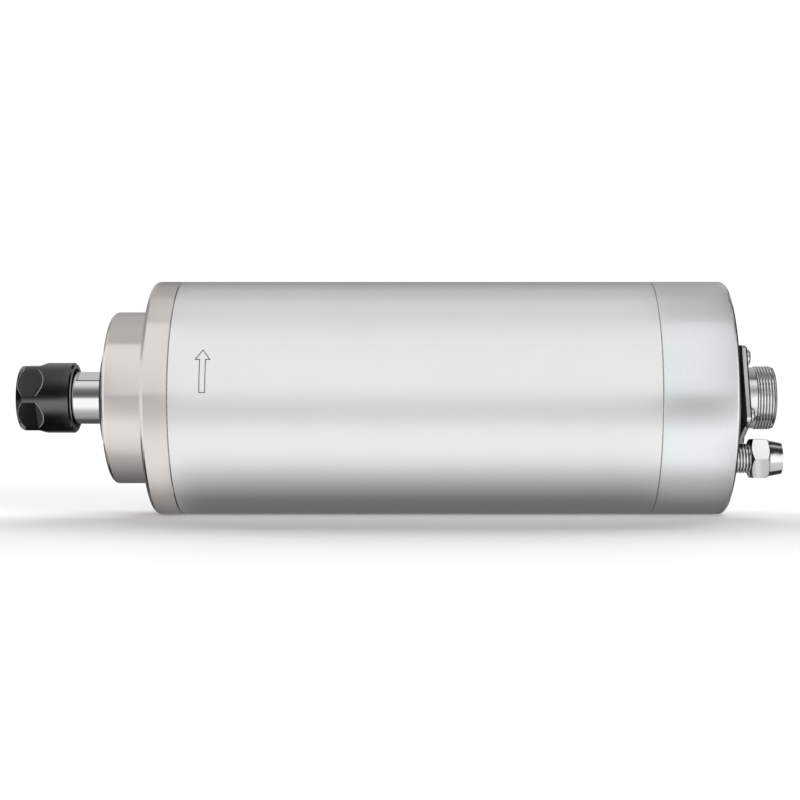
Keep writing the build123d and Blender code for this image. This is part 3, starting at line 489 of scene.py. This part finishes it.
for port in ("inlet", "outlet"):
    low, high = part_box(port + "_fitting")
    centre = ((low.y + high.y) / 2, (low.z + high.z) / 2)
    stem_end = high.x - SPIGOT_LENGTH
    bm = bmesh.new()
    turn_profile(bm, centre, [
        (low.x, STEM_BORE_R), (low.x, STEM_R - STEM_THREAD_DEPTH),
        (cap_face - STEM_PLAIN_SINK, STEM_R - STEM_THREAD_DEPTH),
        *thread_profile(
            cap_face - STEM_SINK, stem_end, STEM_R, STEM_PITCH, STEM_THREAD_DEPTH,
            STEM_RUNOUT, STEM_CHAMFER),
        (stem_end, SPIGOT_R), (high.x - SPIGOT_CHAMFER, SPIGOT_R),
        (high.x, SPIGOT_R - SPIGOT_CHAMFER / 2), (high.x, STEM_BORE_R)], closed=True)
    finish = port + "_stem_thread"
    materials[finish] = threaded(
        finish, (0.80, 0.80, 0.81), (0.74, 0.74, 0.75), centre,
        STEM_FULL_SHADE_R, STEM_NO_SHADE_R, (0.10, 0.10, 0.102))
    stem = new_piece(bm, port + "_threaded_stem", finish, "housing")
    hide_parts(port + "_fitting")

# ======================================================================================
# Arrow on the sleeve
# ======================================================================================

# The turning arrow is a thin engraved line on the sleeve, dark with oxide. Its outline is in
# millimetres, as (x, z) points: a head above a long stem.
ARROW_X, ARROW_LINE, ARROW_STEP = -76.7 * MM, 0.28 * MM, 0.5 * MM
ARROW_POINTS = [
    (-0.95, 1.7), (-0.95, 12.4), (-2.35, 12.4), (0, 15.5), (2.35, 12.4), (0.95, 12.4), (0.95, 1.7)]
ENGRAVING_LIFT = 0.01 * MM
sleeve_low, sleeve_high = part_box("outer_sleeve")
sleeve_r = sleeve_high.z
engraving_r = sleeve_r + ENGRAVING_LIFT

bm = bmesh.new()
outline = [Vector((ARROW_X + x * MM, z * MM)) for x, z in ARROW_POINTS]
for first, second in zip(outline, outline[1:] + outline[:1]):
    along = (second - first).normalized()
    side = Vector((-along.y, along.x)) * ARROW_LINE / 2
    reach = along * ARROW_LINE / 2
    steps = max(1, int((second - first).length / ARROW_STEP))
    rows = []
    for i in range(steps + 1):
        at = first - reach + (second - first + 2 * reach) * i / steps
        rows.append([
            bm.verts.new((p.x, -sqrt(engraving_r ** 2 - p.y ** 2), p.y))
            for p in (at + side, at - side)])
    ribbon(bm, rows)
new_piece(bm, "turning_arrow", "engraving", "housing")

# ======================================================================================
# Painted highlights on the edges of the collet nut
# ======================================================================================

NUT_R, NUT_FLAT_DISTANCE, NUT_HEX_LENGTH = 12.1 * MM, 11.0 * MM, 6.8 * MM
NUT_FIRST_FLAT, NUT_SIDES = 32.5, 6  # directions are from +Y towards +Z, as in the CAD model
NUT_RUNOUT_SLOPE = 2.1
NUT_FACE_CHAMFER, NUT_FACE_SLOPE = 1.3 * MM, tan(radians(30))
EDGE_STEPS, RUNOUT_LINE, CHAMFER_LINE = 24, 0.30 * MM, 0.14 * MM
LINE_LIFT = 0.012 * MM


def edge_strip(bm, points, width):
    """Narrow strip from a line of points (x, y, z) along +X, just off the surface."""
    rows = []
    for x, y, z in points:
        outwards = Vector((0, y, z)).normalized() * LINE_LIFT
        rows.append([bm.verts.new(Vector((at, y, z)) + outwards) for at in (x, x + width)])
    ribbon(bm, rows)


nut_low, nut_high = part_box("collet_nut")
half_width = sqrt(NUT_R ** 2 - NUT_FLAT_DISTANCE ** 2)
bm = bmesh.new()
for side in range(NUT_SIDES):
    flat = radians(NUT_FIRST_FLAT + 360 / NUT_SIDES * side)
    runout, chamfer = [], []
    for k in range(EDGE_STEPS + 1):
        t = half_width * (2 * k / EDGE_STEPS - 1)
        round_out = sqrt(max(0.0, NUT_R ** 2 - t ** 2))
        slope_x = (round_out - NUT_FLAT_DISTANCE) * NUT_RUNOUT_SLOPE
        runout.append((nut_low.x + NUT_HEX_LENGTH + slope_x, *turned(round_out, t, flat)))
        cut = hypot(NUT_FLAT_DISTANCE, t) - NUT_R + NUT_FACE_CHAMFER
        chamfer.append((nut_low.x + cut / NUT_FACE_SLOPE, *turned(NUT_FLAT_DISTANCE, t, flat)))
    edge_strip(bm, runout, RUNOUT_LINE)
    edge_strip(bm, chamfer, CHAMFER_LINE)
# Lighter strips along the nut's run-outs and face chamfer: painted highlights where its edges catch
# the light.
new_piece(bm, "nut_edge_highlights", "worn_edge", "collet_nut")

# ======================================================================================
# Painted shadow lines beside the shaft's flats
# ======================================================================================

# A dark line of painted shadow on the round of the shaft along each edge of its two wrench
# flats. Directions are in degrees from -Y towards +Z.
FLAT_DIRECTION, FLAT_HALF_ANGLE, FLAT_LINE_ANGLE = 69.0, 27.3, 2.4
SHAFT_R, FLAT_INSET = 9.0 * MM, 1.0 * MM
nose_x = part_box("front_housing")[0].x
line_r = SHAFT_R + LINE_LIFT
line_start, line_end = nut_high.x + FLAT_INSET, nose_x - FLAT_INSET

bm = bmesh.new()
for flat in (FLAT_DIRECTION, FLAT_DIRECTION + 180):
    for out in (-1, 1):
        near = radians(flat + out * FLAT_HALF_ANGLE)
        far = near + radians(out * FLAT_LINE_ANGLE)
        corners = (line_start, near), (line_end, near), (line_end, far), (line_start, far)
        bm.faces.new([
            bm.verts.new((x, -line_r * cos(angle), line_r * sin(angle))) for x, angle in corners])
new_piece(bm, "flat_edge_shadow_lines", "joint_gap", "rotor")

# ======================================================================================
# Dark cover ring on the nose, round the dust ring
# ======================================================================================

COVER_R, COVER_HEIGHT, COVER_EDGE, COVER_GAP = 19.0 * MM, 2.7 * MM, 0.3 * MM, 0.25 * MM
cover_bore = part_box("dust_ring")[1].z + COVER_GAP
cover_face = nose_x - COVER_HEIGHT

bm = bmesh.new()
turn_profile(bm, AXIS, [
    (nose_x, cover_bore), (nose_x, COVER_R), (cover_face + COVER_EDGE, COVER_R),
    (cover_face, COVER_R - COVER_EDGE), (cover_face, cover_bore + COVER_EDGE),
    (cover_face + COVER_EDGE, cover_bore)], closed=True)
new_piece(bm, "nose_cover_ring", "moulded_plastic", "housing")

# ======================================================================================
# Joint lines of painted shade
# ======================================================================================

# The fine dark ring at the bottom of the groove at each end of the sleeve: painted shade of the
# gap between the parts.
JOINT_WIDTH, JOINT_DEPTH, JOINT_RIM = 0.28 * MM, 0.18 * MM, 0.02 * MM
joint_r = sleeve_r - JOINT_DEPTH

for name, x in (("front", sleeve_low.x), ("rear", sleeve_high.x)):
    start, end = x - JOINT_WIDTH / 2, x + JOINT_WIDTH / 2
    bm = bmesh.new()
    turn_profile(bm, AXIS, [
        (start, joint_r - JOINT_RIM), (start, joint_r), (end, joint_r), (end, joint_r - JOINT_RIM)])
    new_piece(bm, name + "_joint_shade_line", "joint_gap", "housing")

# ======================================================================================
# Camera and floor
# ======================================================================================

# The camera stands level with the spindle's axis. These pixels of the 800 x 800 frame give the
# lens: where the axis and the middle of the body lie, and the pixels to a metre at one metre.
IMAGE_SIZE = 800
CAMERA_DISTANCE = 0.580
FOCAL_PIXELS = 1678.0
AXIS_PIXEL_Y = 397.8
MIDDLE_PIXEL_X = 440.0
SENSOR = 36.0

camera_data = bpy.data.cameras.new("camera")
camera_data.sensor_width = SENSOR
camera_data.lens = FOCAL_PIXELS / IMAGE_SIZE * SENSOR
camera_data.shift_x = (IMAGE_SIZE / 2 - MIDDLE_PIXEL_X) / IMAGE_SIZE
camera_data.shift_y = -(IMAGE_SIZE / 2 - AXIS_PIXEL_Y) / IMAGE_SIZE
camera_data.clip_start = 0.01
camera = place("camera", camera_data)
camera.location = (0, -CAMERA_DISTANCE, 0)
camera.rotation_euler = (pi / 2, 0, 0)
bpy.context.scene.camera = camera
bpy.context.scene.view_settings.view_transform = "Standard"

HALF_FLOOR = 4.0
floor_mesh = bpy.data.meshes.new("floor")
floor_corners = [
    (x * HALF_FLOOR, y * HALF_FLOOR, cad_low.z) for x, y in ((-1, -1), (1, -1), (1, 1), (-1, 1))]
floor_mesh.from_pydata(floor_corners, [], [(0, 1, 2, 3)])
floor = place("floor", floor_mesh)
floor_material, _, floor_shader = new_material("floor")
set_inputs(floor_shader, {
    "Base Color": (0.93, 0.93, 0.935, 1), "Roughness": 1.0, "Specular IOR Level": 0.0})
floor_mesh.materials.append(floor_material)
floor.visible_glossy = False

# ======================================================================================
# Suns, for the floor and matt surfaces
# ======================================================================================

# Elevation and azimuth, width of the disc (all in degrees) and strength. Azimuth 0 is light from
# the camera's side, and 90 from +X.
SUNS = {
    "front_right_soft": (12, 48, 30, 2.3),
    "front_left_soft": (20, -38, 44, 0.3),
    "back_right_soft": (32, 150, 50, 2.1),
    "back_left_soft": (32, -150, 50, 2.1),
}
for name, (elevation, azimuth, width, strength) in SUNS.items():
    sun_data = bpy.data.lights.new(name, "SUN")
    sun_data.energy = strength
    sun_data.angle = radians(width)
    sun = place(name, sun_data)
    sun.rotation_euler = (radians(90 - elevation), 0, radians(azimuth))
    sun.visible_glossy = False

# ======================================================================================
# Light tent
# ======================================================================================

# The metal mirrors the inside of a light tent. Its levels are (degrees, level) pairs round the X
# axis, with 0 towards the camera and 90 up. The world has them for the sleeve, and a band round
# the axis for each other part of the object, because each stood in another part of the tent.
# They are strengths of light, fitted until each part was as bright as it is in the photo.
RAMP_RANGE = 2.0  # the highest level that a colour ramp, which ends at 1, stands for
TENT = [
    (-180, 0.14), (-156, 0.17), (-129, 0.18), (-120, 0.20), (-112, 0.24), (-106, 0.31),
    (-99, 0.39), (-88, 0.53), (-77, 0.71), (-67, 0.92), (-58, 1.03), (-50, 1.06), (-33, 1.06),
    (-29, 1.01), (-21, 0.86), (-14, 0.80), (-8, 0.81), (-3, 0.86), (3, 0.96), (9, 1.02),
    (15, 1.02), (37, 1.01), (55, 0.99), (64, 0.95), (74, 0.90), (80, 0.86), (88, 0.82),
    (105, 0.81), (116, 0.69), (128, 0.62), (139, 0.50), (154, 0.36)]
SIDE_LEVEL = 1.15  # in front, to both sides
END_LEVEL, UPPER_END_LEVEL = 0.40, 0.03  # far along the axis
POLE_LEVEL = 0.80  # straight along the axis
BEHIND_LEVEL = 0.04  # behind, to the right
FILL_LEVEL = 0.24  # for matt surfaces
BACKDROP_LEVEL = 1.05  # for the camera


def by_angle(tree, parts, levels):
    """Level by the angle round the X axis, from the X, Y and Z of a direction or place."""
    towards = calculate(tree, "MULTIPLY", parts["Y"], -1.0)
    angle = calculate(tree, "ARCTAN2", parts["Z"], towards)
    turn = spread(tree, angle, 0, 1, -pi, pi)
    ramp = add_node(tree, "ShaderNodeValToRGB", {"Fac": turn})
    elements = ramp.color_ramp.elements
    elements.remove(elements[-1])
    for i, (degrees, level) in enumerate(levels):
        position = (degrees + 180) / 360
        element = elements[0] if i == 0 else elements.new(position)
        element.position = position
        element.color = (*[level / RAMP_RANGE] * 3, 1)
    return calculate(tree, "MULTIPLY", ramp.outputs["Color"], RAMP_RANGE)


def product(tree, first, second):
    return calculate(tree, "MULTIPLY", first, second)


def tent_world():
    """The tent as the sleeve mirrors it. Steps are over the X, Y and Z of a unit direction."""
    world = bpy.data.worlds.new("tent")
    world.use_nodes = True
    bpy.context.scene.world = world
    tree = world.node_tree
    parts = parts_of(tree, coords(tree, "Generated"))
    along = calculate(tree, "ABSOLUTE", parts["X"])
    level = by_angle(tree, parts, TENT)

    in_front = step_down(tree, parts["Y"], -0.3, 0.0)
    sides = product(tree, step_up(tree, along, 0.33, 0.45), in_front)
    level = blend(tree, sides, level, SIDE_LEVEL)

    # The ends are dark above and grey below, but not behind on the left, where the front edges of
    # the flange and the nose look.
    above_behind = calculate(tree, "SUBTRACT", parts["Z"], parts["Y"])
    either = calculate(
        tree, "MAXIMUM", step_up(tree, parts["X"], -0.1, 0.1),
        step_up(tree, above_behind, 0.05, 0.2))
    ends = product(tree, step_up(tree, along, 0.72, 0.78), either)
    level = blend(tree, ends, level, END_LEVEL)
    upper_ends = product(tree, ends, step_up(tree, parts["Z"], -0.15, 0.0))
    level = blend(tree, upper_ends, level, UPPER_END_LEVEL)
    level = blend(tree, step_up(tree, along, 0.9945, 0.998), level, POLE_LEVEL)

    to_the_right = product(
        tree, step_up(tree, parts["X"], 0.24, 0.36), step_down(tree, parts["X"], 0.9, 0.99))
    behind = product(tree, step_up(tree, parts["Y"], 0.0, 0.2), to_the_right)
    level = blend(tree, behind, level, BEHIND_LEVEL)

    sight = add_node(tree, "ShaderNodeLightPath")
    level = blend(tree, sight.outputs["Is Diffuse Ray"], level, FILL_LEVEL)
    level = blend(tree, sight.outputs["Is Camera Ray"], level, BACKDROP_LEVEL)
    set_inputs(tree.nodes["Background"], {"Color": level})


tent_world()

# Each band spans what its part mirrors to the camera.
REFLECTOR_R = 0.150


def reflector(name, x_start, x_end, levels, start_r=REFLECTOR_R, end_r=REFLECTOR_R):
    """Band of light and shade round the axis, seen only in reflections."""
    bm = bmesh.new()
    turn_profile(bm, AXIS, [(x_start, start_r), (x_end, end_r)])
    mesh = mesh_of(bm, name)
    material, tree, shader = new_material(name)
    tree.nodes.remove(shader)
    level = by_angle(tree, parts_of(tree, object_coords(tree)), levels)
    glow = add_node(tree, "ShaderNodeEmission", {"Strength": level})
    set_inputs(tree.nodes["Material Output"], {"Surface": glow.outputs["Emission"]})
    mesh.materials.append(material)
    band = place(name, mesh)
    for kind in ("camera", "diffuse", "transmission", "volume_scatter", "shadow"):
        setattr(band, "visible_" + kind, False)


reflector("nut_reflector", -0.182, -0.1565, [
    (-180, 0.30), (-149, 0.30), (-135, 0.03), (-110, 0.01), (-66, 0.01), (-60, 0.04), (-53, 0.19),
    (-46, 0.48), (-39, 0.87), (-30, 1.10), (-19, 1.30), (-10, 1.05), (-7, 0.70), (-1, 0.21),
    (5, 0.05), (18, 0.02), (31, 0.08), (44, 0.21), (55, 0.30), (66, 0.40), (100, 0.40),
    (125, 0.60), (160, 0.50)])
reflector("shaft_reflector", -0.1565, -0.139, [
    (-180, 0.10), (-132, 0.10), (-112, 0.11), (-98, 0.36), (-85, 0.45), (-74, 0.51), (-63, 0.61),
    (-54, 0.78), (-44, 1.15), (-35, 1.28), (-9, 1.28), (-3, 1.10), (1, 0.40), (7, 0.20),
    (16, 0.14), (24, 0.18), (33, 0.25), (42, 0.48), (51, 0.78), (61, 0.95), (72, 0.95),
    (90, 0.80), (115, 0.60), (145, 0.68), (165, 0.60)])
reflector("nose_reflector", -0.139, -0.118, [
    (-180, 0.12), (-143, 0.15), (-124, 0.21), (-112, 0.29), (-93, 0.45), (-78, 0.62), (-65, 0.92),
    (-59, 1.00), (-48, 1.07), (-32, 1.08), (-27, 1.01), (-17, 0.80), (-7, 0.71), (2, 0.65),
    (4, 0.86), (12, 0.91), (22, 0.96), (37, 1.03), (53, 1.06), (67, 1.04), (70, 0.63),
    (101, 0.64), (111, 0.58), (123, 0.58), (140, 0.46), (180, 0.30)])
reflector("flange_reflector", -0.118, -0.106, [
    (-180, 0.15), (-141, 0.21), (-125, 0.29), (-107, 0.40), (-99, 0.47), (-87, 0.70), (-77, 0.93),
    (-67, 1.03), (-59, 1.12), (-39, 1.10), (-29, 1.00), (-18, 0.83), (-8, 0.73), (1, 0.67),
    (4, 0.87), (8, 0.96), (21, 1.00), (39, 1.04), (66, 1.03), (69, 0.79), (87, 0.80), (99, 0.72),
    (106, 0.58), (124, 0.48), (139, 0.33), (180, 0.20)])
reflector("cap_reflector", 0.0867, 0.1185, [
    (-180, 0.12), (-141, 0.16), (-115, 0.21), (-107, 0.27), (-93, 0.41), (-77, 0.60), (-67, 0.81),
    (-59, 1.05), (-51, 1.15), (-29, 1.14), (-25, 1.00), (-15, 0.70), (-9, 0.57), (-1, 0.57),
    (5, 0.93), (11, 1.02), (39, 1.03), (66, 0.97), (70, 0.74), (81, 0.66), (99, 0.62),
    (106, 0.56), (124, 0.50), (139, 0.42), (180, 0.30)])
reflector("stem_reflector", 0.119, 0.1272, [
    (-180, 0.08), (-125, 0.10), (-79, 0.12), (-50, 0.30), (-35, 0.70), (-25, 1.25), (-10, 1.35),
    (-2, 1.10), (6, 0.20), (12, 0.03), (100, 0.02), (110, 0.10), (125, 0.60), (150, 0.60)])
reflector("plate_reflector", 0.1272, 0.1302, [
    (-180, 0.30), (-90, 0.55), (-60, 0.95), (-44, 1.10), (-20, 1.10), (10, 0.95), (40, 0.92),
    (70, 0.85), (95, 0.45), (110, 0.45), (136, 0.60), (180, 0.40)])
reflector("connector_reflector", 0.1302, 0.150, [
    (-180, 0.20), (-130, 0.25), (-122, 0.34), (-99, 0.50), (-75, 0.60), (-58, 0.66), (-46, 0.74),
    (-38, 1.00), (-28, 1.30), (-14, 1.40), (0, 1.35), (6, 1.10), (12, 0.80), (20, 0.45),
    (26, 0.34), (32, 0.40), (38, 0.62), (44, 0.95), (52, 1.20), (60, 1.15), (66, 0.95),
    (69, 0.10), (78, 0.06), (84, 0.20), (95, 0.36), (120, 0.50), (150, 0.50)])
# Far to the right, for the cones at the ends of the fittings' nuts.
reflector("cone_reflector", 0.60, 0.78, [
    (-180, 0.45), (-131, 0.60), (-85, 0.66), (-52, 0.72), (-32, 0.80), (-24, 1.25), (3, 1.30),
    (15, 1.00), (28, 0.35), (36, 0.03), (66, 0.01), (80, 0.10), (92, 0.45), (115, 0.65),
    (155, 0.80)], start_r=1.0, end_r=1.0)
# A flat ring in front of the nose, for the front edge of the flange.
reflector("flange_edge_reflector", -0.160, -0.1601, [
    (-180, 0.85), (-90, 0.85), (0, 1.00), (90, 1.00)], start_r=0.0235, end_r=0.036)
